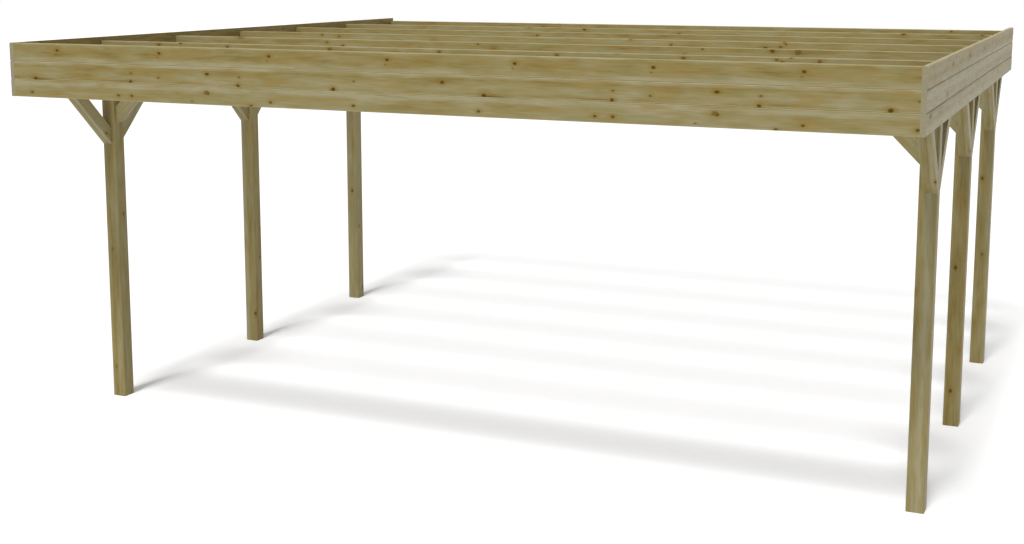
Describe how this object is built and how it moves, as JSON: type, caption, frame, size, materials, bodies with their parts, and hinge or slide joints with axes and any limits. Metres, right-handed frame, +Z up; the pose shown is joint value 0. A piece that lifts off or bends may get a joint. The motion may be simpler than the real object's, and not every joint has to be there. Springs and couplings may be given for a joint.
{
  "type": "carport",
  "caption": "Open timber carport frame: square posts with knee braces carry side beams and cross rafters, with a boarded fascia at the front and sides.",
  "frame": {"origin": "on the ground under the middle of the roof frame", "axes": "+Z up, +Y from the fascia front to the open back, +X to the right seen from the front"},
  "size_m": [5.62, 5.03, 2.523],
  "materials": {
    "post_timber": "planed, pressure treated",
    "beam_timber": "planed, pressure treated",
    "rafter_timber": "planed, pressure treated",
    "brace_timber": "planed, pressure treated",
    "fascia_board": "planed, pressure treated"
  },
  "bodies": {
    "root": {"post_front_left": "post_timber", "post_front_right": "post_timber", "post_middle_left": "post_timber", "post_middle_right": "post_timber", "post_back_left": "post_timber", "post_back_right": "post_timber", "side_beam_left": "beam_timber", "side_beam_right": "beam_timber", "rafter_1": "rafter_timber", "rafter_2": "rafter_timber", "rafter_3": "rafter_timber", "rafter_4": "rafter_timber", "rafter_5": "rafter_timber", "rafter_6": "rafter_timber", "rafter_7": "rafter_timber", "brace_front_left_forward": "brace_timber", "brace_front_left_backward": "brace_timber", "brace_front_left_inward": "brace_timber", "brace_front_right_forward": "brace_timber", "brace_front_right_backward": "brace_timber", "brace_front_right_inward": "brace_timber", "brace_middle_left_forward": "brace_timber", "brace_middle_left_backward": "brace_timber", "brace_middle_left_inward": "brace_timber", "brace_middle_right_forward": "brace_timber", "brace_middle_right_backward": "brace_timber", "brace_middle_right_inward": "brace_timber", "brace_back_left_forward": "brace_timber", "brace_back_left_backward": "brace_timber", "brace_back_left_inward": "brace_timber", "brace_back_right_forward": "brace_timber", "brace_back_right_backward": "brace_timber", "brace_back_right_inward": "brace_timber", "fascia_front_bottom": "fascia_board", "fascia_front_middle": "fascia_board", "fascia_front_top": "fascia_board", "fascia_left_bottom": "fascia_board", "fascia_left_middle": "fascia_board", "fascia_left_top": "fascia_board", "fascia_right_bottom": "fascia_board", "fascia_right_middle": "fascia_board", "fascia_right_top": "fascia_board"}
  },
  "joints": []
}
